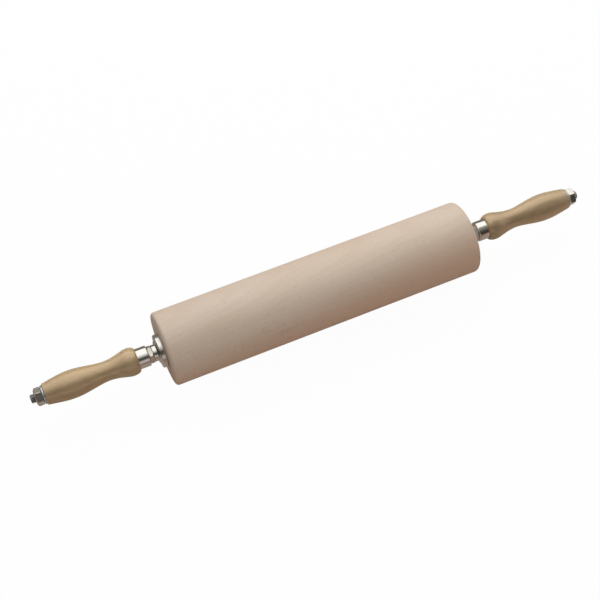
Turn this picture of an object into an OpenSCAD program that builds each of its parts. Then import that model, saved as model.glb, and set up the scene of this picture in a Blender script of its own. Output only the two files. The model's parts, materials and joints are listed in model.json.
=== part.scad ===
// Baker's rolling pin: a beech roller that turns on two ball bearings, with two handles on a through axle.
// The origin is the middle of the roller. +X runs along the axle to the right handle, and +Z is up.
// Each side is drawn on +X and mirrored for the left. All sizes are millimetres, all angles degrees.

/* [Roller] */
// Diameter of the roller
roller_d = 80; // [60:0.5:120]
// Length of the roller between its end faces
roller_len = 350; // [200:1:600]
// Radius of the rounded edge at each end
roller_edge_r = 3.5; // [1:0.1:8]
// Diameter of the bore that the axle runs through
roller_bore_d = 20; // [16:0.5:26]

/* [Bearing housing] */
// Diameter of the flange
flange_d = 36; // [32:0.5:48]
// Thickness of the flange
flange_t = 5.8; // [4:0.1:10]
// Chamfer on the flange's back edge, which meets the roller
flange_chamfer = 0.3; // [0.1:0.1:1]
// Length along the axle of the flange's rounded front edge
flange_edge_w = 1.9; // [0.3:0.1:2.5]
// Distance that the rounded front edge comes in from the flange's rim
flange_edge_h = 0.8; // [0.2:0.1:1.2]
// Diameter of the boss where it stands on the flange
boss_d = 28; // [24:0.1:29]
// Diameter of the boss's outer end, smaller because its side slopes
boss_end_d = 22.4; // [20.2:0.1:23.6]
// Height of the boss
boss_h = 1.7; // [1:0.1:4]
// Thickness of the wall in front of the bearing
cover_t = 4.5; // [3:0.1:8]
// Thickness of the barrel's wall round the bearing
barrel_wall = 2; // [1.2:0.1:4]
// Depth of the barrel in the wood
barrel_len = 22; // [14:0.5:40]

/* [Ball bearing] */
// Bore of the inner ring, which is the diameter of the axle rod too
axle_d = 10; // [8:0.1:10.4]
// Outside diameter of the outer ring
bearing_d = 26; // [25:0.1:27]
// Width of the bearing
bearing_w = 8; // [7.6:0.1:10]
// Diameter of the circle through the ball centres
ball_pitch_d = 18; // [17.4:0.1:18.2]
// Diameter of a ball
ball_d = 4.762; // [3.969:0.001:4.8]
// Number of balls
ball_count = 7; // [5:1:8]
// Distance of both rings' shoulders from the circle through the ball centres
land_gap = 1.7; // [1.3:0.1:2]
// Width of the cage's rim on each side of the balls
cage_rim = 0.35; // [0.2:0.05:0.6]
// Thickness of the cage between its inner and outer face
cage_t = 1.6; // [1:0.1:2]
// Width of the ledge in the outer ring that a shield sits in
shield_ledge = 0.6; // [0.3:0.1:1]
// Thickness of a shield
shield_t = 0.5; // [0.3:0.1:0.6]
// Distance of a shield from the face of its bearing
shield_inset = 0.2; // [0.1:0.1:0.3]
// Thickness of the retaining ring
ring_t = 1.2; // [1:0.1:1.5]
// Width of the retaining ring's band
ring_band = 2.1; // [1.5:0.1:2.5]
// Depth of the groove that holds the retaining ring
ring_groove = 0.6; // [0.3:0.1:1]
// Radius of an ear of the retaining ring
ring_ear_r = 2.1; // [1.8:0.1:2.3]
// Diameter of the hole in an ear
ring_hole_d = 2; // [1:0.1:2.4]
// Angle between the middles of the two ears
ring_open = 34; // [30:1:60]

/* [Axle] */
// Outside diameter of the tube between the two inner rings
spacer_d = 14; // [12.4:0.1:14.2]
// Diameter of the neck sleeve that shows between housing and lock nut
neck_d = 18; // [16:0.1:18]
// Diameter of the nose of the sleeve, which presses on the inner ring
nose_d = 14; // [12:0.1:14.2]
// Length of that nose
nose_len = 1.2; // [0.6:0.1:3]
// Length of the left neck sleeve that shows outside its housing
neck_show_left = 4; // [0.5:0.1:12]
// Length of the right neck sleeve that shows outside its housing
neck_show_right = 1.8; // [0.5:0.1:12]
// Length of the rod outside the left end nut
stub_left = 4.6; // [1:0.1:20]
// Length of the rod outside the right end nut
stub_right = 3.5; // [1:0.1:20]
// Chamfer on each end of the rod
rod_chamfer = 1; // [0.2:0.1:2]
// Depth of a thread's pitch line under the rod's surface, where a nut grips the rod
thread_depth = 0.485; // [0.2:0.005:0.8]
// Length that the gripped thread runs past each face of its nut
thread_lead = 0.4; // [0.2:0.1:0.6]

/* [Nuts and washers] */
// Width of the nuts across their flats
nut_af = 17; // [15:0.5:19]
// Thickness of an end nut
nut_t = 8; // [5:0.1:12]
// Thickness of a lock nut
lock_nut_t = 5; // [3:0.1:8]
// Depth of the countersink at each end of a nut's thread
nut_sink = 0.7; // [0.2:0.1:1]
// Diameter of an end washer
washer_d = 20; // [16:0.5:22]
// Thickness of an end washer
washer_t = 2; // [1:0.1:4]
// Angle of a corner of the left lock nut from straight up, leaning to the front
lock_turn_left = 42; // [0:1:60]
// Angle of a corner of the right lock nut
lock_turn_right = 50; // [0:1:60]
// Angle of a corner of the left end nut
nut_turn_left = 6; // [0:1:60]
// Angle of a corner of the right end nut
nut_turn_right = 19; // [0:1:60]

/* [Handle] */
// Length of a ferrule
ferrule_len = 12; // [8:0.5:20]
// Outside diameter of a ferrule
ferrule_d = 22; // [20.5:0.1:23]
// Thickness of a ferrule's side
ferrule_wall = 0.9; // [0.5:0.1:1.2]
// Thickness of a ferrule's end
ferrule_end_t = 1.2; // [0.6:0.1:3]
// Radius of the rounded edge of a ferrule
ferrule_edge_r = 1; // [0.2:0.1:1.2]
// Length of a handle outside its ferrule
handle_len = 99.9; // [90:0.1:140]
// Largest diameter of the collar behind the ferrule
collar_d = 29.8; // [28:0.1:34]
// Distance of that diameter from the ferrule
collar_x = 8; // [5:0.5:14]
// Height of the collar's shoulder, from its largest radius down to the ferrule
collar_drop = 3; // [1:0.1:3.2]
// Diameter of the waist
waist_d = 21; // [18:0.1:26]
// Distance of the waist from the ferrule
waist_x = 34.3; // [26:0.1:42]
// Largest diameter of the belly
belly_d = 29.6; // [26:0.1:36]
// Distance of the belly's largest diameter from the ferrule
belly_x = 69; // [58:0.5:76]
// Diameter of the outer end
grip_end_d = 22.8; // [21:0.1:26]
// Radius of the edge round the outer end
grip_edge_r = 0.9; // [0.3:0.1:1.5]

/* [Clearances] */
// Gap round the rod where a piece slides or screws onto it
rod_gap = 0.05; // [0.02:0.01:0.1]
// Gap between the rod and the wood of a handle
handle_gap = 0.3; // [0.1:0.05:0.8]
// Gap round a barrel in the wood, and round the wood in a ferrule
wood_gap = 0.05; // [0.02:0.01:0.1]
// Gap between a neck sleeve and its housing
neck_gap = 0.35; // [0.2:0.05:0.6]
// Gap between a ball and its races, and between a ball and its cage
ball_gap = 0.07; // [0.02:0.01:0.1]
// Gap between a shield and the inner ring
shield_gap = 0.3; // [0.2:0.05:0.5]
// Gap between the retaining ring and its groove
ring_gap = 0.05; // [0.02:0.01:0.1]

/* [Hidden] */
$fn = 96;

left = -1;
right = 1;
// Steps in each drawn curve of a turned outline
curve_steps = 10;
// Length that a cutter runs past what it cuts
over = 1;

// Slope of the chamfer on a nut's corners, and the nut's round face as a share of its width across flats
nut_slope = 30;
nut_face_share = 0.95;

// Shares of its length over which each curve of a handle keeps its direction, at its start and its finish
collar_start = 0.22;
waist_finish = 0.49;
waist_start = 0.25;
belly_finish = 0.29;
belly_start = 0.31;
grip_finish = 0.6;
// Fall of the handle towards its outer end, and the angle at which the rounded edge there begins
grip_fall = 0.17;
grip_edge_angle = 72;

// Radii that pieces share
rod_r = axle_d / 2;
rod_hole_r = rod_r + rod_gap;
thread_r = rod_r - thread_depth;
nut_hole_r = thread_r + rod_gap;
seat_r = bearing_d / 2;
barrel_r = seat_r + barrel_wall;
pitch_r = ball_pitch_d / 2;
ball_r = ball_d / 2;
race_r = ball_r + ball_gap;
cage_w = 2 * (race_r + cage_rim);
inner_land_r = pitch_r - land_gap;
outer_land_r = pitch_r + land_gap;
shield_r = outer_land_r + shield_ledge;
neck_bore_r = neck_d / 2 + neck_gap;
ring_groove_r = seat_r + ring_groove;
ferrule_bore_r = ferrule_d / 2 - ferrule_wall;
spigot_r = ferrule_bore_r - wood_gap;

// Distances from the roller's middle that are the same on both sides
face_x = roller_len / 2;
flange_x = face_x + flange_t;
boss_x = flange_x + boss_h;
bearing_out_x = boss_x - cover_t;
bearing_x = bearing_out_x - bearing_w / 2;
bearing_in_x = bearing_out_x - bearing_w;
ring_x = bearing_in_x - ring_t;
barrel_x = face_x - barrel_len;

// Distances that depend on the side, outwards from the neck sleeve
function neck_x(side) = boss_x + (side < 0 ? neck_show_left : neck_show_right);
function ferrule_x(side) = neck_x(side) + lock_nut_t;
function shoulder_x(side) = ferrule_x(side) + ferrule_len;
function grip_x(side) = shoulder_x(side) + handle_len;
function washer_x(side) = grip_x(side) + washer_t;
function nut_x(side) = washer_x(side) + nut_t;
function tip_x(side) = nut_x(side) + (side < 0 ? stub_left : stub_right);

// A point on the curve from a to b that the points p and q pull on
function bend(a, p, q, b, t) =
    pow(1 - t, 3) * a + 3 * pow(1 - t, 2) * t * p + 3 * (1 - t) * t * t * q + pow(t, 3) * b;

// A curve from a to b, level at a and sloping down by fall at b. Its ends keep their direction over these
// shares of its length: start and finish.
function sweep(a, b, start, finish, fall = 0) =
    let (run = b[0] - a[0])
    [for (i = [1:curve_steps])
        bend(a, a + [start * run, 0], b + [-finish * run, fall * finish * run], b, i / curve_steps)];

// A quarter of an ellipse round a centre, from angle a0 to a1, with half axes rx and rr
function quarter(cx, cr, rx, rr, a0, a1) =
    [for (i = [0:curve_steps])
        let (a = a0 + (a1 - a0) * i / curve_steps)
        [cx + rx * cos(a), cr + rr * sin(a)]];

// A solid of revolution about the axle, from points that are [distance along X, radius]
module lathe(points) {
    rotate([0, 90, 0])
        rotate_extrude()
            polygon([for (p = points) [p[1], p[0]]]);
}

// A round sleeve between two places on the axle
module sleeve(x0, x1, r_out, r_in) {
    lathe([[x0, r_in], [x0, r_out], [x1, r_out], [x1, r_in]]);
}

// A ring of ball-shaped section, to cut a race
module race() {
    translate([bearing_x, 0, 0])
        rotate([0, 90, 0])
            rotate_extrude()
                translate([pitch_r, 0])
                    circle(r = race_r);
}

// One ball in each place of the ball circle
module ball_set(r) {
    for (i = [0:ball_count - 1])
        rotate([i * 360 / ball_count, 0, 0])
            translate([bearing_x, 0, pitch_r])
                sphere(r = r);
}

// A hexagonal bar between two places, with one corner turned from straight up towards the front, and both
// ends chamfered as a nut's are
module hex_bar(x0, x1, af, turn) {
    corner_r = af / 2 / cos(30);
    face_r = nut_face_share * af / 2;
    rise = (corner_r + over - face_r) * tan(nut_slope);
    intersection() {
        translate([x0, 0, 0])
            rotate([0, 90, 0])
                rotate([0, 0, turn])
                    cylinder(r = corner_r, h = x1 - x0, $fn = 6);
        lathe([
            [x0, 0], [x0, face_r], [x0 + rise, corner_r + over],
            [x1 - rise, corner_r + over], [x1, face_r], [x1, 0]
        ]);
    }
}

// A nut on the rod
module nut(x0, x1, turn) {
    difference() {
        hex_bar(x0, x1, nut_af, turn);
        lathe([
            [x0 - over, 0], [x0 - over, nut_hole_r + nut_sink + over], [x0 + nut_sink, nut_hole_r],
            [x1 - nut_sink, nut_hole_r], [x1 + over, nut_hole_r + nut_sink + over], [x1 + over, 0]
        ]);
    }
}

// What follows is drawn on the side it is told
module on(side) {
    if (side < 0)
        mirror([1, 0, 0]) children();
    else
        children();
}

module roller() {
    half = face_x - roller_edge_r;
    rim = roller_d / 2 - roller_edge_r;
    color("#d9c4ac")
    difference() {
        lathe(concat(
            [[-face_x, 0]],
            quarter(-half, rim, roller_edge_r, roller_edge_r, 180, 90),
            quarter(half, rim, roller_edge_r, roller_edge_r, 90, 0),
            [[face_x, 0]]
        ));
        sleeve(-face_x - over, face_x + over, roller_bore_d / 2, 0);
        for (side = [left, right])
            on(side)
                sleeve(barrel_x - wood_gap, face_x + over, barrel_r + wood_gap, 0);
    }
}

// The outline of one half of the rod. Its thread is drawn at the pitch line where the two nuts grip it, and
// is as thick as the rod elsewhere.
function half_rod(side) =
    let (
        lock_from = neck_x(side) - thread_lead, lock_to = ferrule_x(side) + thread_lead,
        nut_from = washer_x(side) - thread_lead, nut_to = nut_x(side) + thread_lead
    )
    [
        [lock_from, rod_r], [lock_from, thread_r], [lock_to, thread_r], [lock_to, rod_r],
        [nut_from, rod_r], [nut_from, thread_r], [nut_to, thread_r], [nut_to, rod_r],
        [tip_x(side) - rod_chamfer, rod_r], [tip_x(side), rod_r - rod_chamfer], [tip_x(side), 0]
    ];

module axle_rod() {
    left_half = half_rod(left);
    color("#6b655e")
    lathe(concat(
        [for (i = [len(left_half) - 1:-1:0]) [-left_half[i][0], left_half[i][1]]],
        half_rod(right)
    ));
}

module spacer_tube() {
    color("#9a9c9e")
    sleeve(-bearing_in_x, bearing_in_x, spacer_d / 2, rod_hole_r);
}

module bearing_housing(side) {
    flange_r = flange_d / 2;
    groove_x = ring_x - ring_gap;
    color("#cfcac4")
    on(side)
        lathe(concat(
            [
                [barrel_x, seat_r], [barrel_x, barrel_r], [face_x, barrel_r],
                [face_x, flange_r - flange_chamfer], [face_x + flange_chamfer, flange_r]
            ],
            quarter(flange_x - flange_edge_w, flange_r - flange_edge_h, flange_edge_w, flange_edge_h, 90, 0),
            [
                [flange_x, boss_d / 2], [boss_x, boss_end_d / 2],
                [boss_x, neck_bore_r], [bearing_out_x, neck_bore_r], [bearing_out_x, seat_r],
                [bearing_in_x, seat_r], [bearing_in_x, ring_groove_r], [groove_x, ring_groove_r],
                [groove_x, seat_r]
            ]
        ));
}

module bearing_outer_ring(side) {
    seat = shield_inset + shield_t;
    color("#b9bcc0")
    on(side)
        difference() {
            sleeve(bearing_in_x, bearing_out_x, seat_r, outer_land_r);
            race();
            sleeve(bearing_in_x - over, bearing_in_x + seat, shield_r, 0);
            sleeve(bearing_out_x - seat, bearing_out_x + over, shield_r, 0);
        }
}

module bearing_inner_ring(side) {
    color("#b9bcc0")
    on(side)
        difference() {
            sleeve(bearing_in_x, bearing_out_x, inner_land_r, rod_r);
            race();
        }
}

module bearing_balls(side) {
    color("#dfe2e5")
    on(side)
        ball_set(ball_r);
}

module bearing_cage(side) {
    color("#b98f4a")
    on(side)
        difference() {
            sleeve(
                bearing_x - cage_w / 2, bearing_x + cage_w / 2,
                pitch_r + cage_t / 2, pitch_r - cage_t / 2
            );
            ball_set(race_r);
        }
}

module bearing_shields(side) {
    seat = shield_inset + shield_t;
    hole_r = inner_land_r + shield_gap;
    color("#c6c8ca")
    on(side) {
        sleeve(bearing_in_x + shield_inset, bearing_in_x + seat, shield_r, hole_r);
        sleeve(bearing_out_x - seat, bearing_out_x - shield_inset, shield_r, hole_r);
    }
}

module retaining_ring(side) {
    outer_r = ring_groove_r - ring_gap;
    ear_at = seat_r - ring_ear_r;
    half_open = ring_open / 2;
    color("#77797b")
    on(side)
        translate([ring_x, 0, 0])
            rotate([0, 90, 0])
                linear_extrude(ring_t)
                    difference() {
                        union() {
                            difference() {
                                circle(r = outer_r);
                                circle(r = outer_r - ring_band);
                                // The ring is open at the bottom, between the two ears
                                polygon([
                                    [0, 0],
                                    2 * outer_r * [cos(half_open), sin(half_open)],
                                    2 * outer_r * [cos(half_open), -sin(half_open)]
                                ]);
                            }
                            for (turn = [-half_open, half_open])
                                rotate(turn)
                                    translate([ear_at, 0])
                                        circle(r = ring_ear_r);
                        }
                        for (turn = [-half_open, half_open])
                            rotate(turn)
                                translate([ear_at, 0])
                                    circle(d = ring_hole_d);
                    }
}

module neck_sleeve(side) {
    end_x = neck_x(side);
    nose_x = bearing_out_x + nose_len;
    color("#dcd7d0")
    on(side)
        lathe([
            [bearing_out_x, rod_hole_r], [bearing_out_x, nose_d / 2], [nose_x, nose_d / 2],
            [nose_x, neck_d / 2], [end_x, neck_d / 2], [end_x, rod_hole_r]
        ]);
}

module lock_nut(side) {
    color("#c9c4bd")
    on(side)
        nut(neck_x(side), ferrule_x(side), side < 0 ? lock_turn_left : lock_turn_right);
}

module ferrule(side) {
    x0 = ferrule_x(side);
    r = ferrule_d / 2;
    color("#e4dfd8")
    on(side)
        lathe(concat(
            [[x0, rod_hole_r]],
            quarter(x0 + ferrule_edge_r, r - ferrule_edge_r, ferrule_edge_r, ferrule_edge_r, 180, 90),
            [
                [shoulder_x(side), r], [shoulder_x(side), ferrule_bore_r],
                [x0 + ferrule_end_t, ferrule_bore_r], [x0 + ferrule_end_t, rod_hole_r]
            ]
        ));
}

module handle(side) {
    x0 = ferrule_x(side) + ferrule_end_t;
    shoulder = shoulder_x(side);
    end_x = grip_x(side);
    hole_r = rod_r + handle_gap;
    collar = [shoulder + collar_x, collar_d / 2];
    waist = [shoulder + waist_x, waist_d / 2];
    belly = [shoulder + belly_x, belly_d / 2];
    grip_end = [end_x - grip_edge_r, grip_end_d / 2];
    color("#b0925f")
    on(side)
        lathe(concat(
            [[x0, hole_r], [x0, spigot_r], [shoulder, spigot_r]],
            quarter(collar[0], collar[1] - collar_drop, collar_x, collar_drop, 180, 90),
            sweep(collar, waist, collar_start, waist_finish),
            sweep(waist, belly, waist_start, belly_finish),
            sweep(belly, grip_end, belly_start, grip_finish, grip_fall),
            quarter(grip_end[0], grip_end[1] - grip_edge_r, grip_edge_r, grip_edge_r, grip_edge_angle, 0),
            [[end_x, hole_r]]
        ));
}

module end_washer(side) {
    color("#cfd6dc")
    on(side)
        sleeve(grip_x(side), washer_x(side), washer_d / 2, rod_r + handle_gap);
}

module end_nut(side) {
    color("#5f5850")
    on(side)
        nut(washer_x(side), nut_x(side), side < 0 ? nut_turn_left : nut_turn_right);
}

roller();
axle_rod();
spacer_tube();
bearing_housing(left);  // bearing_housing_left
bearing_outer_ring(left);  // bearing_outer_ring_left
bearing_inner_ring(left);  // bearing_inner_ring_left
bearing_balls(left);  // bearing_balls_left
bearing_cage(left);  // bearing_cage_left
bearing_shields(left);  // bearing_shields_left
retaining_ring(left);  // retaining_ring_left
neck_sleeve(left);  // neck_sleeve_left
lock_nut(left);  // lock_nut_left
ferrule(left);  // ferrule_left
handle(left);  // handle_left
end_washer(left);  // end_washer_left
end_nut(left);  // end_nut_left
bearing_housing(right);  // bearing_housing_right
bearing_outer_ring(right);  // bearing_outer_ring_right
bearing_inner_ring(right);  // bearing_inner_ring_right
bearing_balls(right);  // bearing_balls_right
bearing_cage(right);  // bearing_cage_right
bearing_shields(right);  // bearing_shields_right
retaining_ring(right);  // retaining_ring_right
neck_sleeve(right);  // neck_sleeve_right
lock_nut(right);  // lock_nut_right
ferrule(right);  // ferrule_right
handle(right);  // handle_right
end_washer(right);  // end_washer_right
end_nut(right);  // end_nut_right
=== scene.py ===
"""The look of a baker's rolling pin: beech roller, lacquered handles, nickel fittings and a threaded rod.

Pieces are drawn in millimetres on the +X side, mirrored for the left, and become metres in build(). Angles
about the axle are measured from straight up and lean to the front, which is -Y, as in the CAD source. A
size that the frame doesn't give has the CAD source's value, apart from the small details listed below.
"""

import functools
import json
import math

import bmesh
import bpy
from mathutils import Matrix, Vector

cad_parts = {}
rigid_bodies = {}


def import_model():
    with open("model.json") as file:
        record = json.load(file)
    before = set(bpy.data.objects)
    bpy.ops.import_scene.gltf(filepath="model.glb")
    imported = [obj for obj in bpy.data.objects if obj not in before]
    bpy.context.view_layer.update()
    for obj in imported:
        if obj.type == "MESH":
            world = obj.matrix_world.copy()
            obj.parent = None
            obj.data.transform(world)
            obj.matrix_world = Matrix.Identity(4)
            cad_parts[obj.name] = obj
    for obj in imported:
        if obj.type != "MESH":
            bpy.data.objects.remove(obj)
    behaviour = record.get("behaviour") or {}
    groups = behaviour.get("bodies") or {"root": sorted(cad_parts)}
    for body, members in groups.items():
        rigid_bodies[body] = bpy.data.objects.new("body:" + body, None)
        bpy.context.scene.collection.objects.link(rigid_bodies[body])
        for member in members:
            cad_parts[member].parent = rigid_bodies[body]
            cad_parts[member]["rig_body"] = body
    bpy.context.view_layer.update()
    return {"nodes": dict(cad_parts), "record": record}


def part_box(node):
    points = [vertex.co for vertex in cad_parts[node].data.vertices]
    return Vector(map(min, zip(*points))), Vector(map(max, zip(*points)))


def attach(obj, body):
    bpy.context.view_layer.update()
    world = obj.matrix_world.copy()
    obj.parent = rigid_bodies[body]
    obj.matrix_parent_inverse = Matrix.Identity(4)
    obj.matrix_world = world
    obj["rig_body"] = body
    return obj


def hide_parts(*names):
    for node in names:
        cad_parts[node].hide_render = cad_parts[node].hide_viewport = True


MM = 0.001
LEFT, RIGHT = -1, 1
SIDE_NAMES = {LEFT: "left", RIGHT: "right"}

# The photograph's camera, worked out from the roller's outline. It looks at a point beside the origin. The
# clip distances are in metres.
PHOTO_SIZE = 600
FOCAL_LENGTH = 1262.72
CAMERA_AZIMUTH = -23.63
CAMERA_ELEVATION = 59.43
CAMERA_DISTANCE = 1342.8
PIN_RIGHT_OF_CENTRE = 18.68
PIN_ABOVE_CENTRE = 8.90
SENSOR_WIDTH = 36
CLIP_NEAR, CLIP_FAR = 0.01, 100

# Steps round a turned piece and round the rod, in each quarter of a rounded edge, in a ferrule's lip, along
# each curve of a handle and along a nut's flat. An edge is smooth below SMOOTH_BELOW degrees.
TURN_STEPS = 160
ROD_STEPS = 72
EDGE_STEPS = 6
LIP_STEPS = 3
CURVE_STEPS = 22
FLAT_STEPS = 8
SMOOTH_BELOW = 34

# Roller, housing and neck sleeve
ROLLER_EDGE_R = 3.5
ROLLER_BORE_R = 10
BARREL_R = 15
FLANGE_T = 5.8
FLANGE_EDGE_W, FLANGE_EDGE_H = 1.9, 0.8
BOSS_R, BOSS_END_R = 14, 11.2
RING_GROOVE = 0.6
NOSE_LEN, NOSE_R = 1.2, 7

# Clearances
WOOD_GAP = 0.05
RING_GAP = 0.05
ROD_GAP = 0.05
NECK_GAP = 0.35
HANDLE_GAP = 0.3

# Axle rod: M10 with a pitch of 1.5. A nut grips it at its thread's pitch line.
ROD_R = 5
PITCH_LINE_DEPTH = 0.485
GRIPPED_R = ROD_R - PITCH_LINE_DEPTH
ROD_HOLE_R = ROD_R + ROD_GAP

# Nuts, with the angle of a corner of each
NUT_AF = 17
NUT_HOLE_R = GRIPPED_R + ROD_GAP
NUT_SINK = 0.7
NUT_SLOPE = 30
NUT_FACE_SHARE = 0.95
NUT_TURNS = {"lock_nut_left": 42, "lock_nut_right": 50, "end_nut_left": 6, "end_nut_right": 19}
CORNER_ANGLE = 60

# Ferrule and handle, with distances from the ferrule
FERRULE_WALL = 0.9
FERRULE_END_T = 1.2
FERRULE_EDGE_R = 1
HANDLE_HOLE_R = ROD_R + HANDLE_GAP
COLLAR_X, COLLAR_R, COLLAR_DROP = 8, 14.9, 3
WAIST_X, WAIST_R = 34.3, 10.5
BELLY_X, BELLY_R = 69, 14.8
GRIP_END_R, GRIP_EDGE_R = 11.4, 0.9
GRIP_EDGE_ANGLE = 72
GRIP_FALL = 0.17

# Shares of its length over which each curve of a handle keeps its direction, at its start and its finish
COLLAR_START, WAIST_FINISH = 0.22, 0.49
WAIST_START, BELLY_FINISH = 0.25, 0.29
BELLY_START, GRIP_FINISH = 0.31, 0.6

# Small details that the CAD source hasn't: the relief behind the flange, eased edges, the rod's round tips
# and its thread, with root and flank as shares of half a pitch, and a deeper chamfer outside the end nuts
FLANGE_RELIEF_W, FLANGE_RELIEF_H = 0.6, 3.5
BORE_CHAMFER = 0.4
SLEEVE_EDGE_R = 0.3
FERRULE_LIP_R = 0.25
WASHER_EDGE_R = 0.35
ROD_TIP_DROP, ROD_TIP_LENGTH = 2.2, 2.4
THREAD_PITCH = 1.5
THREAD_DEPTH = 0.92
THREAD_ROOT, THREAD_FLANK = 0.18, 0.7
THREAD_STEPS = 14
STEP_BEFORE_THREAD = 0.01
END_NUT_FACE_SHARE = 0.82
NUT_CORNER_R = 0.55
EASED_EDGE = 0.25
EASED_STEPS = 3
EASED_ABOVE = 25

# Beech: how far its lines sway, how many rings they wander by, and the sizes of its marks along the grain
# and across it
SWAY = 12
SWAY_SIZES = (160, 45, 45)
RING_WANDER = 2.2
RING_SIZES = (300, 14, 14)
PORE_SIZES = (3.4, 0.28, 0.28)
PORE_SHARE = 0.15
STREAK_SIZES = (140, 3.2, 3.2)
CLOUD_SIZES = (120, 40, 40)
PATCH_SIZES = (16, 2.6, 2.6)
ROUGHNESS_SPREAD = 0.06

# Metal: the sizes of its marks, and how dark plain tarnish is
TARNISH_SIZES = (9, 7, 7)
SPOT_SIZES = (1.6, 1.6, 1.6)
TOOL_MARK_SIZES = (0.16, 6, 6)
WAVE_SIZES = (5, 5, 5)
RUST_SIZES = (3, 3, 3)
TARNISH_SHADE = 0.72

# The studio. The roller rests on the floor, and the cards stand a little above it.
FLOOR_Z = -40
FLOOR_REACH = 6000
FLOOR_COLOUR = (0.9, 0.9, 0.9, 1)
FLOOR_WHITE_SHARE = 0.97
BENCH_COLOUR = (0.42, 0.35, 0.30, 1)
AMBIENT_COLOUR = (1.0, 0.98, 0.95, 1)
AMBIENT_LEVEL = 0.42
WHITE = (1, 1, 1, 1)
CARD_FOOT_Z = FLOOR_Z + 1
CARD_DISTANCE = 900
CARD_STEPS = 12
END_CARD_REACH = 1500


@functools.cache
def reach(node):
    """How far a CAD node reaches: its inner and outer end along the axle, and its radius."""
    low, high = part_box(node)
    inner, outer = sorted(abs(x) / MM for x in (low.x, high.x))
    return inner, outer, max(abs(low.z), high.z, abs(low.y), high.y) / MM


def build(name, points, faces, side=RIGHT):
    """A mesh object from points in millimetres, mirrored for the left side."""
    mesh = bpy.data.meshes.new(name)
    mesh.from_pydata([(side * x * MM, y * MM, z * MM) for x, y, z in points], [], faces)
    edit = bmesh.new()
    edit.from_mesh(mesh)
    bmesh.ops.recalc_face_normals(edit, faces=edit.faces)
    edit.to_mesh(mesh)
    edit.free()
    mesh.polygons.foreach_set("use_smooth", [True] * len(mesh.polygons))
    mesh.set_sharp_from_angle(angle=math.radians(SMOOTH_BELOW))
    piece = bpy.data.objects.new(name, mesh)
    bpy.context.scene.collection.objects.link(piece)
    return piece


def skin(rings, closed):
    """Points and faces of the surface through rings of equal length, each a list of (x, y, z). The rings
    close on themselves as a bored piece does, or end in two flat faces."""
    size = len(rings[0])
    points = [p for ring in rings for p in ring]
    faces = []
    for j in range(len(rings) if closed else len(rings) - 1):
        k = (j + 1) % len(rings)
        for i in range(size):
            n = (i + 1) % size
            faces.append((j * size + i, j * size + n, k * size + n, k * size + i))
    if not closed:
        faces.append(tuple(range(size)))
        faces.append(tuple(range(len(points) - size, len(points))))
    return points, faces


def turned(name, outline, side=RIGHT):
    """A bored solid of revolution about the axle, from a closed outline of (x, r)."""
    turns = [2 * math.pi * i / TURN_STEPS for i in range(TURN_STEPS)]
    rings = [[(x, -r * math.sin(t), r * math.cos(t)) for t in turns] for x, r in outline]
    return build(name, *skin(rings, closed=True), side)


def arc(x, r, radius, start, end, rise=None, steps=EDGE_STEPS):
    """Points of an arc round (x, r), from one angle to another in degrees. rise is the radius across the
    axle, where it isn't the same."""
    rise = radius if rise is None else rise
    angles = [math.radians(start + (end - start) * i / steps) for i in range(steps + 1)]
    return [(x + radius * math.cos(a), r + rise * math.sin(a)) for a in angles]


def sweep(a, b, start, finish, fall=0.0):
    """A curve from a to b, level at a and sloping down by fall at b, as in the CAD source."""
    run = b[0] - a[0]
    p = (a[0] + start * run, a[1])
    q = (b[0] - finish * run, b[1] + fall * finish * run)
    curve = []
    for i in range(1, CURVE_STEPS + 1):
        t = i / CURVE_STEPS
        weights = ((1 - t) ** 3, 3 * (1 - t) ** 2 * t, 3 * (1 - t) * t * t, t ** 3)
        curve.append(tuple(sum(w * c[k] for w, c in zip(weights, (a, p, q, b))) for k in (0, 1)))
    return curve


def rounded_hexagon(af, corner_r, turn):
    """Points round a hexagon with rounded corners, each as (y, z). One corner is turned from straight up
    towards the front."""
    half_side = math.radians(CORNER_ANGLE / 2)
    to_corner = (af / 2 - corner_r) / math.cos(half_side)
    half_flat = to_corner * math.sin(half_side)
    points = []
    for corner in range(6):
        mid = math.radians(turn + CORNER_ANGLE * corner)
        for i in range(EDGE_STEPS + 1):
            a = mid + math.radians(-CORNER_ANGLE / 2 + CORNER_ANGLE * i / EDGE_STEPS)
            across = to_corner * math.sin(mid) + corner_r * math.sin(a)
            up = to_corner * math.cos(mid) + corner_r * math.cos(a)
            points.append((-across, up))
        facing = mid + half_side
        for i in range(1, FLAT_STEPS):
            along = -half_flat + 2 * half_flat * i / FLAT_STEPS
            across = af / 2 * math.sin(facing) + along * math.cos(facing)
            up = af / 2 * math.cos(facing) - along * math.sin(facing)
            points.append((-across, up))
    return points


def roller():
    """The wooden roller, with its bore and a seat for a housing in each end."""
    face, radius = reach("roller")[1:]
    seat_x = reach("bearing_housing_right")[0] - WOOD_GAP
    seat_r = BARREL_R + WOOD_GAP
    edge = ROLLER_EDGE_R
    end = [
        (seat_x, ROLLER_BORE_R), (seat_x, seat_r), (face, seat_r),
        *arc(face - edge, radius - edge, edge, 0, 90, steps=2 * EDGE_STEPS),
    ]
    outline = end + [(-x, r) for x, r in reversed(end)]
    return turned("roller_wood", outline)


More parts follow.
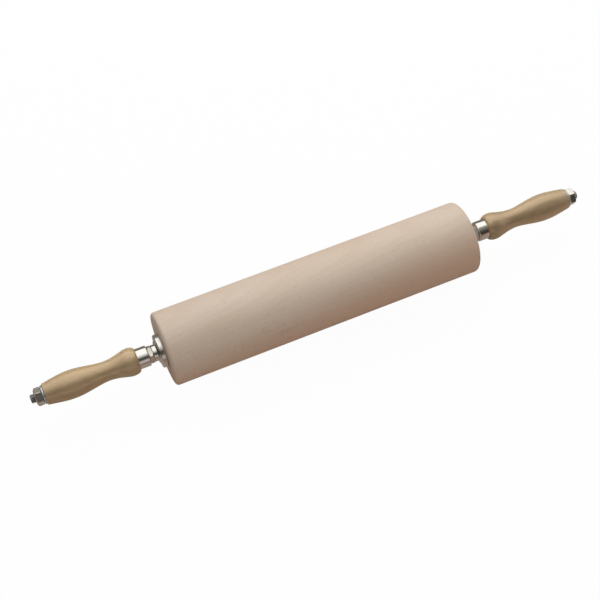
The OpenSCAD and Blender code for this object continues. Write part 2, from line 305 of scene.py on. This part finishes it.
def housing(side):
    """The housing: a barrel in the wood, a round flange and a low boss, with the bearing's seat inside."""
    name = "bearing_housing_" + SIDE_NAMES[side]
    barrel_x, boss_x, flange_r = reach(name)
    face_x = reach("roller")[1]
    flange_x = face_x + FLANGE_T
    bearing_in_x, bearing_out_x, seat_r = reach("bearing_outer_ring_" + SIDE_NAMES[side])
    groove_x = reach("retaining_ring_" + SIDE_NAMES[side])[0] - RING_GAP
    groove_r = seat_r + RING_GROOVE
    neck_bore_r = reach("neck_sleeve_" + SIDE_NAMES[side])[2] + NECK_GAP
    edge_w, edge_h = FLANGE_EDGE_W, FLANGE_EDGE_H
    outline = [
        (barrel_x, seat_r), (barrel_x, BARREL_R), (face_x, BARREL_R),
        (face_x, flange_r - FLANGE_RELIEF_H), (face_x + FLANGE_RELIEF_W, flange_r),
        *arc(flange_x - edge_w, flange_r - edge_h, edge_w, 90, 0, edge_h),
        (flange_x, BOSS_R), (boss_x, BOSS_END_R),
        (boss_x, neck_bore_r + BORE_CHAMFER), (boss_x - BORE_CHAMFER, neck_bore_r),
        (bearing_out_x, neck_bore_r), (bearing_out_x, seat_r),
        (bearing_in_x, seat_r), (bearing_in_x, groove_r), (groove_x, groove_r), (groove_x, seat_r),
    ]
    return turned(name + "_turned", outline, side)


def neck(side):
    """The neck sleeve, whose nose presses on the bearing's inner ring."""
    name = "neck_sleeve_" + SIDE_NAMES[side]
    x0, x1, radius = reach(name)
    nose_x = x0 + NOSE_LEN
    edge = SLEEVE_EDGE_R
    outline = [
        (x0, ROD_HOLE_R), (x0, NOSE_R), (nose_x, NOSE_R), (nose_x, radius),
        *arc(x1 - edge, radius - edge, edge, 90, 0), (x1, ROD_HOLE_R),
    ]
    return turned(name + "_turned", outline, side)


def ferrule(side):
    """The ferrule, a cup over the inner end of the handle."""
    name = "ferrule_" + SIDE_NAMES[side]
    x0, x1, radius = reach(name)
    edge, lip = FERRULE_EDGE_R, FERRULE_LIP_R
    inside_x = x0 + FERRULE_END_T
    inside_r = radius - FERRULE_WALL
    outline = [
        (x0, ROD_HOLE_R),
        *arc(x0 + edge, radius - edge, edge, 180, 90),
        *arc(x1 - lip, radius - lip, lip, 90, 0, steps=LIP_STEPS),
        (x1, inside_r), (inside_x, inside_r), (inside_x, ROD_HOLE_R),
    ]
    return turned(name + "_turned", outline, side)


def handle(side):
    """The handle, from the spigot in its ferrule over collar, waist and belly to its outer end."""
    name = "handle_" + SIDE_NAMES[side]
    x0, end_x, _ = reach(name)
    _, shoulder, ferrule_r = reach("ferrule_" + SIDE_NAMES[side])
    spigot_r = ferrule_r - FERRULE_WALL - WOOD_GAP
    collar = (shoulder + COLLAR_X, COLLAR_R)
    waist = (shoulder + WAIST_X, WAIST_R)
    belly = (shoulder + BELLY_X, BELLY_R)
    grip_end = (end_x - GRIP_EDGE_R, GRIP_END_R)
    outline = [
        (x0, HANDLE_HOLE_R), (x0, spigot_r), (shoulder, spigot_r),
        *arc(collar[0], COLLAR_R - COLLAR_DROP, COLLAR_X, 180, 90, COLLAR_DROP, 2 * EDGE_STEPS),
        *sweep(collar, waist, COLLAR_START, WAIST_FINISH),
        *sweep(waist, belly, WAIST_START, BELLY_FINISH),
        *sweep(belly, grip_end, BELLY_START, GRIP_FINISH, GRIP_FALL),
        *arc(grip_end[0], GRIP_END_R - GRIP_EDGE_R, GRIP_EDGE_R, GRIP_EDGE_ANGLE, 0),
        (end_x, HANDLE_HOLE_R),
    ]
    return turned(name + "_turned", outline, side)


def washer(side):
    """The washer on the handle's outer end."""
    name = "end_washer_" + SIDE_NAMES[side]
    x0, x1, radius = reach(name)
    edge = WASHER_EDGE_R
    outline = [
        (x0, HANDLE_HOLE_R),
        *arc(x0 + edge, radius - edge, edge, 180, 90),
        *arc(x1 - edge, radius - edge, edge, 90, 0),
        (x1, HANDLE_HOLE_R),
    ]
    return turned(name + "_pressed", outline, side)


def nut(kind, side):
    """A hexagonal nut with rounded corners, chamfered ends and a countersunk hole."""
    name = kind + "_" + SIDE_NAMES[side]
    x0, x1, _ = reach(name)
    hexagon = rounded_hexagon(NUT_AF, NUT_CORNER_R, NUT_TURNS[name])
    inner_r = NUT_FACE_SHARE * NUT_AF / 2
    outer_r = inner_r if kind == "lock_nut" else END_NUT_FACE_SHARE * NUT_AF / 2
    slope = math.tan(math.radians(NUT_SLOPE))

    def ring(x, r):
        return [(x, r * y / math.hypot(y, z), r * z / math.hypot(y, z)) for y, z in hexagon]

    def edge(x, face_r, inwards):
        return [(x + inwards * slope * (math.hypot(y, z) - face_r), y, z) for y, z in hexagon]

    sunk_r = NUT_HOLE_R + NUT_SINK
    rings = [
        ring(x0 + NUT_SINK, NUT_HOLE_R), ring(x0, sunk_r), ring(x0, inner_r), edge(x0, inner_r, 1),
        edge(x1, outer_r, -1), ring(x1, outer_r), ring(x1, sunk_r), ring(x1 - NUT_SINK, NUT_HOLE_R),
    ]
    piece = build(name + "_forged", *skin(rings, closed=True), side)
    ease(piece)
    return piece


def ease(piece):
    """Rounds a piece's sharp edges, so that they catch the light."""
    bevel = piece.modifiers.new("eased_edges", "BEVEL")
    bevel.width = EASED_EDGE * MM
    bevel.segments = EASED_STEPS
    bevel.limit_method = "ANGLE"
    bevel.angle_limit = math.radians(EASED_ABOVE)
    flats = piece.modifiers.new("flat_faces", "WEIGHTED_NORMAL")
    flats.keep_sharp = True


def thread_r(x, turn):
    """The radius of a right-hand thread at a place along the rod and an angle about it, from +Y to +Z."""
    phase = (x / THREAD_PITCH - turn / (2 * math.pi)) % 1
    height = abs(2 * phase - 1)
    return ROD_R - THREAD_DEPTH * (1 - min(1, max(0, (height - THREAD_ROOT) / THREAD_FLANK)))


def tip_r(depth):
    """The radius of the rod's rounded tip at a depth behind its end."""
    short = 1 - min(1, max(0, depth) / ROD_TIP_LENGTH)
    return ROD_R - ROD_TIP_DROP * (1 - math.sqrt(1 - short * short))


def rod_stations(side, tip):
    """Places along one half of the rod, from its middle outwards, with the most that its radius may be. The
    stretch that the nut grips ends a small step before the thread that shows."""
    lock_from, lock_to, _ = reach("lock_nut_" + SIDE_NAMES[side])
    nut_from, nut_to, _ = reach("end_nut_" + SIDE_NAMES[side])
    sunk = nut_to - NUT_SINK
    stations = [
        (lock_from, ROD_R), (lock_from, GRIPPED_R), (lock_to, GRIPPED_R), (lock_to, ROD_R),
        (nut_from, ROD_R), (nut_from, GRIPPED_R), (sunk - STEP_BEFORE_THREAD, GRIPPED_R),
    ]
    rows = math.ceil((tip - sunk) / THREAD_PITCH * THREAD_STEPS)
    for i in range(rows + 1):
        x = sunk + (tip - sunk) * i / rows
        leaving_nut = GRIPPED_R + max(0, x - sunk)
        stations.append((x, min(leaving_nut, tip_r(tip - x))))
    return stations


def axle_rod():
    """The rod, with its real thread where it shows outside the end nuts."""
    low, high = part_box("axle_rod")
    left_half = [(-x, limit) for x, limit in reversed(rod_stations(LEFT, -low.x / MM))]
    right_half = rod_stations(RIGHT, high.x / MM)
    thread_from = min(reach("end_washer_left")[0], reach("end_washer_right")[0])
    rings = []
    for x, limit in left_half + right_half:
        ring = []
        for i in range(ROD_STEPS):
            t = 2 * math.pi * i / ROD_STEPS
            r = min(limit, thread_r(x, t)) if abs(x) > thread_from else limit
            ring.append((x, r * math.cos(t), r * math.sin(t)))
        rings.append(ring)
    return build("axle_rod_threaded", *skin(rings, closed=False))


def put(tree, kind, inputs=None, **settings):
    """A new node. An input that is given a socket is linked to it, and any other gets the value."""
    node = tree.nodes.new(kind)
    for name, value in settings.items():
        setattr(node, name, value)
    for name, value in (inputs or {}).items():
        if isinstance(value, bpy.types.NodeSocket):
            tree.links.new(value, node.inputs[name])
        else:
            node.inputs[name].default_value = value
    return node


def maths(tree, operation, *values):
    """A number worked out from others."""
    return put(tree, "ShaderNodeMath", dict(enumerate(values)), operation=operation).outputs[0]


def vector_maths(tree, operation, *values, result="Vector"):
    """A vector worked out from others, or its length if the result is Value."""
    node = put(tree, "ShaderNodeVectorMath", dict(enumerate(values)), operation=operation)
    return node.outputs[result]


def noise(tree, place, sizes, detail=2.0, roughness=0.5):
    """Cloudy noise, from 0 to 1, whose lumps are about sizes millimetres along X, Y and Z."""
    scale = [1 / (size * MM) for size in sizes]
    stretched = put(tree, "ShaderNodeMapping", {"Vector": place, "Scale": scale}).outputs[0]
    inputs = {"Vector": stretched, "Scale": 1.0, "Detail": detail, "Roughness": roughness}
    return put(tree, "ShaderNodeTexNoise", inputs)


def between(tree, value, low, high, out_low=0.0, out_high=1.0):
    """A smooth step from out_low to out_high, as the value goes from low to high."""
    inputs = {0: value, 1: low, 2: high, 3: out_low, 4: out_high}
    return put(tree, "ShaderNodeMapRange", inputs, interpolation_type="SMOOTHSTEP").outputs[0]


def mixed(tree, share, a, b, blend="MIX"):
    """Colour a with a share of colour b."""
    inputs = {0: share, 6: a, 7: b}
    return put(tree, "ShaderNodeMix", inputs, data_type="RGBA", blend_type=blend).outputs[2]


def bump(tree, height, strength, depth):
    """A bumped normal. depth is in millimetres."""
    inputs = {"Height": height, "Strength": strength, "Distance": depth * MM}
    return put(tree, "ShaderNodeBump", inputs).outputs[0]


def new_material(name, **sockets):
    """A material, its node tree, its shader and the piece's own coordinates."""
    material = bpy.data.materials.new(name)
    material.use_nodes = True
    tree = material.node_tree
    shader = tree.nodes["Principled BSDF"]
    for socket, value in sockets.items():
        shader.inputs[socket.replace("_", " ")].default_value = value
    place = put(tree, "ShaderNodeTexCoord").outputs["Object"]
    return material, tree, shader, place


def linear(*levels):
    """A colour as a picture shows it, from 0 to 255, in the renderer's linear light, by the sRGB curve."""
    shares = [level / 255 for level in levels]
    return (*(s / 12.92 if s <= 0.04045 else ((s + 0.055) / 1.055) ** 2.4 for s in shares), 1.0)


def along_grain(tree, place, lean):
    """Coordinates in which a leaning grain runs along X, and the place along the piece."""
    along = put(tree, "ShaderNodeSeparateXYZ", {0: place}).outputs["X"]
    drop = put(tree, "ShaderNodeCombineXYZ", {
        1: maths(tree, "MULTIPLY", along, -lean[0]),
        2: maths(tree, "MULTIPLY", along, -lean[1]),
    })
    return vector_maths(tree, "ADD", place, drop.outputs[0]), along


def swaying(tree, place):
    """Coordinates pushed about a little, so that no line in the wood is quite straight."""
    sway = noise(tree, place, SWAY_SIZES).outputs["Color"]
    centred = vector_maths(tree, "SUBTRACT", sway, (0.5, 0.5, 0.5))
    moved = vector_maths(tree, "MULTIPLY_ADD", centred, 3 * (SWAY * MM,), place)
    return put(tree, "ShaderNodeSeparateXYZ", {0: moved}).outputs


def round_pith(tree, xyz, pith):
    """The distance from the pith, and the angle about it."""
    across = maths(tree, "SUBTRACT", xyz["Y"], pith[0] * MM)
    up = maths(tree, "SUBTRACT", xyz["Z"], pith[1] * MM)
    squares = maths(tree, "ADD", maths(tree, "POWER", across, 2.0), maths(tree, "POWER", up, 2.0))
    return maths(tree, "SQRT", squares), maths(tree, "ARCTAN2", up, across)


def late_wood(tree, place, out, ring):
    """Where a growth ring is dark: more and more on its way out, with a sharp end."""
    uneven = noise(tree, place, RING_SIZES, 1.0).outputs[0]
    wander = maths(tree, "MULTIPLY", uneven, RING_WANDER)
    rings = maths(tree, "FRACT", maths(tree, "MULTIPLY_ADD", out, 1 / (ring * MM), wander))
    rising = between(tree, rings, 0.35, 0.9)
    ending = between(tree, rings, 1.0, 0.93)
    return maths(tree, "MULTIPLY", rising, ending)


def ray_flecks(tree, xyz, out, turn, pith, fleck):
    """The small flecks of the rays, which run out from the pith."""
    length, depth, width = fleck
    cells = put(tree, "ShaderNodeCombineXYZ", {
        0: maths(tree, "MULTIPLY", xyz["X"], 1 / (length * MM)),
        1: maths(tree, "MULTIPLY", out, 1 / (depth * MM)),
        2: maths(tree, "MULTIPLY", turn, math.hypot(*pith) / width),
    })
    rays = put(tree, "ShaderNodeTexNoise", {"Vector": cells.outputs[0], "Scale": 1.0, "Detail": 1.0})
    return between(tree, rays.outputs[0], 0.60, 0.72)


def dark_patch(tree, place, middle, size):
    """A soft streaky patch along the grain, which fades out at its size from its middle."""
    away = vector_maths(tree, "SUBTRACT", place, [c * MM for c in middle])
    away = vector_maths(tree, "MULTIPLY", away, [1 / (c * MM) for c in size])
    near = between(tree, vector_maths(tree, "LENGTH", away, result="Value"), 0.2, 1.0, 1.0, 0.0)
    streak = noise(tree, place, PATCH_SIZES).outputs[0]
    return maths(tree, "MULTIPLY", near, between(tree, streak, 0.3, 0.7, 0.1, 0.5))


def beech(name, pale, deep, late, fleck, pith, ring, fleck_size, ring_share, streak_share, fleck_share,
          rough, bump_depth, lean=(0, 0), painted_warm_shade=None, patch=None, right_painted_shade=None, **sockets):
    """Solid beech. The rings lie round a pith beside the piece, and the rays run out from it, so the figure
    follows the turned shape: arcs and flames on one side, stripes on the other, rings on the end grain.

    pale and deep are the wood's ground, and late and fleck the colours of its rings and rays. pith is the
    pith's place as (y, z), ring the width of a growth ring, and fleck_size a fleck's length, depth and
    width. lean is how far the grain rises towards +Y and +Z on its way along X. heart is the colour near
    the pith, and how far from it that colour is full and gone; with the pith below and in front, it paints
    warm shade on the lower front. patch is the middle, size and colour of a darker patch, and
    right_painted_shade darkens the wood to the right of the middle as painted shade.
    """
    material, tree, shader, place = new_material(name, **sockets)
    place, along = along_grain(tree, place, lean)
    xyz = swaying(tree, place)
    out, turn = round_pith(tree, xyz, pith)
    rings = late_wood(tree, place, out, ring)
    flecks = ray_flecks(tree, xyz, out, turn, pith, fleck_size)
    pores = noise(tree, place, PORE_SIZES, 2.0, 0.7).outputs[0]
    streaks = noise(tree, place, STREAK_SIZES, 3.0, 0.6).outputs[0]
    clouds = noise(tree, place, CLOUD_SIZES).outputs[0]

    colour = mixed(tree, between(tree, clouds, 0.3, 0.7), pale, deep)
    # heart is painted warm shade: it reddens the wood near the pith, which for the roller lies below and in
    # front
    if painted_warm_shade:
        tint, full, gone = painted_warm_shade
        colour = mixed(tree, between(tree, out, full * MM, gone * MM, 1.0, 0.0), colour, tint)
    colour = mixed(tree, maths(tree, "MULTIPLY", rings, ring_share), colour, late)
    colour = mixed(tree, between(tree, streaks, 0.35, 0.75, 0.0, streak_share), colour, late)
    colour = mixed(tree, maths(tree, "MULTIPLY", flecks, fleck_share), colour, fleck)
    colour = mixed(tree, between(tree, pores, 0.52, 0.75, 0.0, PORE_SHARE), colour, fleck)
    if patch:
        middle, size, tint = patch
        colour = mixed(tree, dark_patch(tree, place, middle, size), colour, tint)
    # right_painted_shade is painted shade: it darkens the wood to the right of the middle
    if right_painted_shade:
        on_right = maths(tree, "GREATER_THAN", along, 0.0)
        colour = mixed(tree, on_right, colour, right_painted_shade, "MULTIPLY")
    tree.links.new(colour, shader.inputs["Base Color"])

    smoothest, roughest = rough - ROUGHNESS_SPREAD, rough + ROUGHNESS_SPREAD
    tree.links.new(between(tree, streaks, 0.2, 0.8, smoothest, roughest), shader.inputs["Roughness"])
    relief = maths(tree, "MULTIPLY_ADD", flecks, -0.6, maths(tree, "MULTIPLY", pores, -0.8))
    tree.links.new(bump(tree, relief, 0.5, bump_depth), shader.inputs["Normal"])
    return material


def plated(name, colour, rough, marks=0.25, tarnish=None, tarnish_share=0.25, metallic=1.0):
    """Bright plating over turned or forged steel: fine rings from the tool and a little tarnish."""
    material, tree, shader, place = new_material(name, Metallic=metallic)
    cloud = noise(tree, place, TARNISH_SIZES, 3.0).outputs[0]
    spots = noise(tree, place, SPOT_SIZES, 2.0, 0.6).outputs[0]
    dull = tarnish or tuple(TARNISH_SHADE * c for c in colour[:3]) + (1.0,)
    spotted = maths(tree, "MULTIPLY_ADD", spots, 0.35, cloud)
    worn = between(tree, spotted, 0.62, 0.95, 0.0, tarnish_share)
    tree.links.new(mixed(tree, worn, colour, dull), shader.inputs["Base Color"])
    smoothest, roughest = rough * 0.8, rough * 1.35
    tree.links.new(between(tree, cloud, 0.3, 0.75, smoothest, roughest), shader.inputs["Roughness"])
    tool = noise(tree, place, TOOL_MARK_SIZES).outputs[0]
    wavy = noise(tree, place, WAVE_SIZES, 1.0).outputs[0]
    height = maths(tree, "MULTIPLY_ADD", tool, marks, maths(tree, "MULTIPLY", wavy, 2.0))
    tree.links.new(bump(tree, height, 0.35, 0.012), shader.inputs["Normal"])
    return material


def dark_steel(name, colour, rust):
    """Drawn steel with oil and a breath of rust in its thread."""
    material, tree, shader, place = new_material(name, Metallic=0.85)
    patches = noise(tree, place, RUST_SIZES, 4.0, 0.65).outputs[0]
    rusty = between(tree, patches, 0.42, 0.7)
    tree.links.new(mixed(tree, rusty, colour, rust), shader.inputs["Base Color"])
    tree.links.new(between(tree, patches, 0.3, 0.7, 0.32, 0.58), shader.inputs["Roughness"])
    tree.links.new(bump(tree, patches, 0.4, 0.03), shader.inputs["Normal"])
    return material


def roller_beech():
    """Pale bare beech, whose grain leans a little, with painted warm shade on its lower front and a darker
    patch on the left of its front.
    """
    return beech(
        "bare_beech",
        pale=linear(218, 200, 183),
        deep=linear(214, 194, 175),
        late=linear(203, 180, 158),
        fleck=linear(172, 146, 124),
        pith=(-50, -90),
        ring=4.5,
        fleck_size=(5, 9, 0.7),
        ring_share=0.18,
        streak_share=0.12,
        fleck_share=0.2,
        rough=0.56,
        bump_depth=0.05,
        lean=(0.0925, 0.05),
        # Painted warm shade: a redder tint round a pith below and in front of the roller reddens its lower
        # front
        painted_warm_shade=(linear(216, 183, 160), 92, 130),
        patch=((-68, -35.8, 17.9), (54, 6, 6), linear(150, 124, 104)),
        Specular_IOR_Level=0.4,
    )


def handle_beech():
    """Beech under an aged yellow lacquer, with painted shade that makes the right handle a little darker.
    """
    return beech(
        "lacquered_beech",
        pale=linear(177, 154, 116),
        deep=linear(166, 142, 104),
        late=linear(148, 124, 87),
        fleck=linear(118, 90, 62),
        pith=(34, -26),
        ring=3.0,
        fleck_size=(2.6, 3.2, 0.42),
        ring_share=0.4,
        streak_share=0.3,
        fleck_share=0.3,
        rough=0.33,
        bump_depth=0.03,
        # Painted shade: the right handle's wood is made a little darker all over
        right_painted_shade=(0.88, 0.9, 0.93, 1),
        IOR=2.8,
        Specular_Tint=(1, 0.77, 0.58, 1),
        Sheen_Weight=0.5,
        Sheen_Roughness=0.4,
        Sheen_Tint=(1, 0.85, 0.65, 1),
    )


def materials():
    """Each material slot's own material."""
    nickel = linear(235, 233, 228)
    warm_nickel = linear(230, 227, 221)
    dull_nickel = linear(224, 218, 208)
    steel = linear(234, 230, 221)
    brown_tarnish = linear(140, 132, 120)
    zinc = linear(196, 204, 210)
    brass = linear(214, 178, 110)
    return {
        "bare_beech": roller_beech(),
        "lacquered_beech": handle_beech(),
        "housing_nickel": plated("housing_nickel", warm_nickel, 0.16),
        "sleeve_nickel": plated("sleeve_nickel", nickel, 0.12),
        "lock_nut_nickel": plated("lock_nut_nickel", dull_nickel, 0.30, marks=0.1),
        "ferrule_nickel": plated("ferrule_nickel", nickel, 0.10),
        "washer_zinc": plated("washer_zinc", zinc, 0.34, marks=0.1, metallic=0.75),
        "end_nut_steel": plated("end_nut_steel", steel, 0.23, 0.1, brown_tarnish, tarnish_share=0.4),
        "rod_steel": dark_steel("rod_steel", linear(178, 178, 182), linear(146, 138, 132)),
        "tube_steel": plated("tube_steel", linear(190, 191, 192), 0.35),
        "bearing_steel": plated("bearing_steel", linear(205, 207, 209), 0.18),
        "ball_steel": plated("ball_steel", linear(225, 227, 230), 0.05, marks=0.0),
        "cage_brass": plated("cage_brass", brass, 0.28),
        "shield_steel": plated("shield_steel", linear(212, 213, 214), 0.22),
        "spring_steel": dark_steel("spring_steel", linear(96, 97, 99), linear(80, 76, 70)),
    }


def slot_of(node):
    """The material slot that the record gives a CAD node."""
    rows = frame["record"]["subparts"]
    return next(row["material_slot"] for row in rows if row["node"] == node)


def dress(piece, node, finishes):
    """A new piece stands for a CAD node, rides on its body and takes its material."""
    body = frame["nodes"][node]["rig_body"]
    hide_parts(node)
    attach(piece, body)
    piece.data.materials.append(finishes[slot_of(node)])


def dress_side(side, handle_piece, finishes):
    """The fittings of one side and its handle, which is made already."""
    pieces = {
        "bearing_housing": housing(side),
        "neck_sleeve": neck(side),
        "lock_nut": nut("lock_nut", side),
        "ferrule": ferrule(side),
        "handle": handle_piece,
        "end_washer": washer(side),
        "end_nut": nut("end_nut", side),
    }
    for kind, piece in pieces.items():
        dress(piece, kind + "_" + SIDE_NAMES[side], finishes)


def dress_shown_cad_nodes(finishes):
    """The CAD nodes that nothing replaces take their own materials."""
    for row in frame["record"]["subparts"]:
        node = frame["nodes"][row["node"]]
        if not node.hide_render:
            for material_slot in node.material_slots:
                material_slot.material = finishes[row["material_slot"]]


def camera():
    """The photograph's camera. Its picture's centre is beside the pin, so the pin is held off centre."""
    azimuth, elevation = math.radians(CAMERA_AZIMUTH), math.radians(CAMERA_ELEVATION)
    back = Vector((
        math.sin(azimuth) * math.cos(elevation),
        -math.cos(azimuth) * math.cos(elevation),
        math.sin(elevation),
    ))
    right = Vector((math.cos(azimuth), math.sin(azimuth), 0))
    up = back.cross(right)
    data = bpy.data.cameras.new("photo_camera")
    data.sensor_width = SENSOR_WIDTH
    data.lens = FOCAL_LENGTH / PHOTO_SIZE * SENSOR_WIDTH
    data.clip_start = CLIP_NEAR
    data.clip_end = CLIP_FAR
    made = bpy.data.objects.new("photo_camera", data)
    place = (back * CAMERA_DISTANCE - right * PIN_RIGHT_OF_CENTRE - up * PIN_ABOVE_CENTRE) * MM
    made.matrix_world = Matrix.Translation(place) @ Matrix((right, up, back)).transposed().to_4x4()
    bpy.context.scene.collection.objects.link(made)
    bpy.context.scene.camera = made


def lamp(name, turn, distance, along, width, length, level, colour=(1, 1, 1)):
    """A soft box that faces the pin from an angle about the axle, in metres. level is its brightness, where
    1 is white. What reflects it shows a card in its place."""
    data = bpy.data.lights.new(name, "AREA")
    data.shape = "RECTANGLE"
    data.size = length
    data.size_y = width
    data.energy = level * math.pi * width * length
    data.color = colour
    made = bpy.data.objects.new(name, data)
    outwards = Vector((0, -math.sin(math.radians(turn)), math.cos(math.radians(turn))))
    across = Vector((1, 0, 0))
    made.matrix_world = (
        Matrix.Translation(outwards * distance + across * along)
        @ Matrix((across, outwards.cross(across), outwards)).transposed().to_4x4()
    )
    made.visible_glossy = False
    bpy.context.scene.collection.objects.link(made)
    return made


def lamps():
    """A large box above and behind, two fills in front, and a rim light for far edges. Returns the last."""
    lamp("key_box", turn=-41, distance=1.5, along=0.55, width=1.55, length=2.4, level=1.8)
    lamp("front_fill", turn=85, distance=1.5, along=-0.2, width=0.95, length=2.4, level=0.43,
         colour=(1, 0.82, 0.67))
    lamp("left_fill", turn=76, distance=0.9, along=-0.75, width=0.4, length=0.5, level=0.55,
         colour=(0.6, 0.85, 1))
    return lamp("handle_rim", turn=-95, distance=1.2, along=0.0, width=0.9, length=2.0, level=5.4,
                colour=(1, 0.97, 0.96))


def light_only(light, pieces):
    """Keeps a lamp's light to some pieces."""
    lit = bpy.data.collections.new(light.name + "_lights")
    for piece in pieces:
        lit.objects.link(piece)
    light.light_linking.receiver_collection = lit


def seen_behind(tree):
    """1 for a ray that should see the white background: one from the camera, or off metal or glass."""
    path = put(tree, "ShaderNodeLightPath").outputs
    first = maths(tree, "MAXIMUM", path["Is Camera Ray"], path["Is Glossy Ray"])
    return maths(tree, "MAXIMUM", first, path["Is Transmission Ray"])


def world():
    """Soft light from all round, behind which the background shows white."""
    made = bpy.data.worlds.new("studio")
    made.use_nodes = True
    tree = made.node_tree
    tree.nodes.clear()
    soft = put(tree, "ShaderNodeBackground", {"Color": AMBIENT_COLOUR, "Strength": AMBIENT_LEVEL})
    white = put(tree, "ShaderNodeBackground", {"Color": WHITE, "Strength": 1.0})
    both = put(tree, "ShaderNodeMixShader", {0: seen_behind(tree), 1: soft.outputs[0], 2: white.outputs[0]})
    put(tree, "ShaderNodeOutputWorld", {"Surface": both.outputs[0]})
    bpy.context.scene.world = made


def bare_material(name):
    """A material without nodes, and its node tree."""
    material = bpy.data.materials.new(name)
    material.use_nodes = True
    material.node_tree.nodes.clear()
    return material, material.node_tree


def floor():
    """A floor under the pin. It shows white, with a little of the pin's shadow, and throws a warm grey
    light on the pin's underside."""
    far = FLOOR_REACH
    corners = [(-far, -far, FLOOR_Z), (far, -far, FLOOR_Z), (far, far, FLOOR_Z), (-far, far, FLOOR_Z)]
    made = build("floor", corners, [(0, 1, 2, 3)])
    material, tree = bare_material("pale_floor")
    seen = put(tree, "ShaderNodeLightPath").outputs["Is Camera Ray"]
    matt = put(tree, "ShaderNodeBsdfDiffuse", {"Color": mixed(tree, seen, BENCH_COLOUR, FLOOR_COLOUR)})
    white = put(tree, "ShaderNodeEmission", {"Color": WHITE, "Strength": 1.0})
    share = maths(tree, "MULTIPLY", seen_behind(tree), FLOOR_WHITE_SHARE)
    both = put(tree, "ShaderNodeMixShader", {0: share, 1: matt.outputs[0], 2: white.outputs[0]})
    put(tree, "ShaderNodeOutputMaterial", {"Surface": both.outputs[0]})
    made.data.materials.append(material)


def card(name, start, finish, x0, x1, colour, fade_to=None):
    """A studio card that only shows in reflections: a strip about the axle, or on the floor below it. Its
    colour may fade to another on its way round."""
    points = []
    tints = []
    for i in range(CARD_STEPS + 1):
        share = i / CARD_STEPS
        turn = math.radians(start + (finish - start) * share)
        out, up = -math.sin(turn), math.cos(turn)
        away = CARD_DISTANCE
        if up * away < CARD_FOOT_Z:
            away = CARD_FOOT_Z / up
        points += [(x0, away * out, away * up), (x1, away * out, away * up)]
        tints += 2 * [[a + (b - a) * share for a, b in zip(colour, fade_to or colour)]]
    faces = [(2 * i, 2 * i + 1, 2 * i + 3, 2 * i + 2) for i in range(CARD_STEPS)]
    reflected_only(build(name, points, faces), tints)


def end_card(name, x, colour):
    """A card across the end of the studio."""
    far = END_CARD_REACH
    corners = [(x, -far, CARD_FOOT_Z), (x, far, CARD_FOOT_Z), (x, far, far), (x, -far, far)]
    reflected_only(build(name, corners, [(0, 1, 2, 3)]), 4 * [colour])


def reflected_only(made, tints):
    """Makes a card glow with a colour at each of its points, and be seen only in what reflects it."""
    made.visible_camera = False
    made.visible_diffuse = False
    made.visible_shadow = False
    made.visible_transmission = False
    glow = made.data.color_attributes.new("tint", "FLOAT_COLOR", "POINT")
    for point, tint in zip(glow.data, tints):
        point.color = (*tint, 1)
    material, tree = bare_material(made.name)
    tint = put(tree, "ShaderNodeAttribute", attribute_name="tint").outputs["Color"]
    light = put(tree, "ShaderNodeEmission", {"Color": tint, "Strength": 1.0})
    put(tree, "ShaderNodeOutputMaterial", {"Surface": light.outputs[0]})
    made.data.materials.append(material)


def surround():
    """What the metal and the lacquer reflect: a window behind the pin, then round over the top and down to
    a bench in front. To the right of the middle the wall is darker and the bench is paler."""
    left, middle, right = -750, 250, 1400
    window = (1.18, 1.18, 1.15)
    dark = (0.08, 0.075, 0.068)
    screen = (0.51, 0.46, 0.43)
    bench_edge = (0.23, 0.16, 0.14)
    bench = (0.34, 0.28, 0.235)
    card("card_window", -71, -8, left, right, window)
    card("card_overhead", -8, 33, left, middle, window, dark)
    card("card_camera", 33, 54, left, middle, dark)
    card("card_screen_top", 54, 69, left, middle, dark, screen)
    card("card_screen", 69, 84, left, middle, screen)
    card("card_screen_foot", 84, 93, left, middle, screen, bench_edge)
    card("card_bench_edge", 93, 122, left, middle, bench_edge, bench)
    card("card_bench", 122, 188, left, middle, bench)

    right_pale, right_grey = (0.58, 0.56, 0.52), (0.26, 0.25, 0.225)
    right_dark, right_darkest = (0.06, 0.058, 0.05), (0.04, 0.035, 0.03)
    right_edge_top, right_edge_foot = (0.10, 0.045, 0.04), (0.46, 0.30, 0.265)
    right_bench, right_bench_end = (0.48, 0.39, 0.34), (0.54, 0.47, 0.41)
    card("card_overhead_right", -8, 12, middle, right, right_pale, right_grey)
    card("card_camera_right", 12, 50, middle, right, right_grey, right_dark)
    card("card_screen_right", 50, 80, middle, right, right_dark, right_darkest)
    card("card_bench_edge_right", 80, 104, middle, right, right_edge_top, right_edge_foot)
    card("card_bench_right", 104, 188, middle, right, right_bench, right_bench_end)

    card("card_back_low", -172, -112, left, right, (0.27, 0.25, 0.22))
    card("card_back", -112, -71, left, right, (0.20, 0.175, 0.15))
    end_card("card_left", left, (0.05, 0.045, 0.04))


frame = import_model()

camera()
world()
floor()
rim_light = lamps()
surround()

# The rim light stays off the roller, whose far edge is bright enough without it
finishes = materials()
handles = {side: handle(side) for side in (LEFT, RIGHT)}
light_only(rim_light, handles.values())
dress(roller(), "roller", finishes)
dress(axle_rod(), "axle_rod", finishes)
for side in (LEFT, RIGHT):
    dress_side(side, handles[side], finishes)
dress_shown_cad_nodes(finishes)

bpy.context.scene.view_settings.view_transform = "Standard"
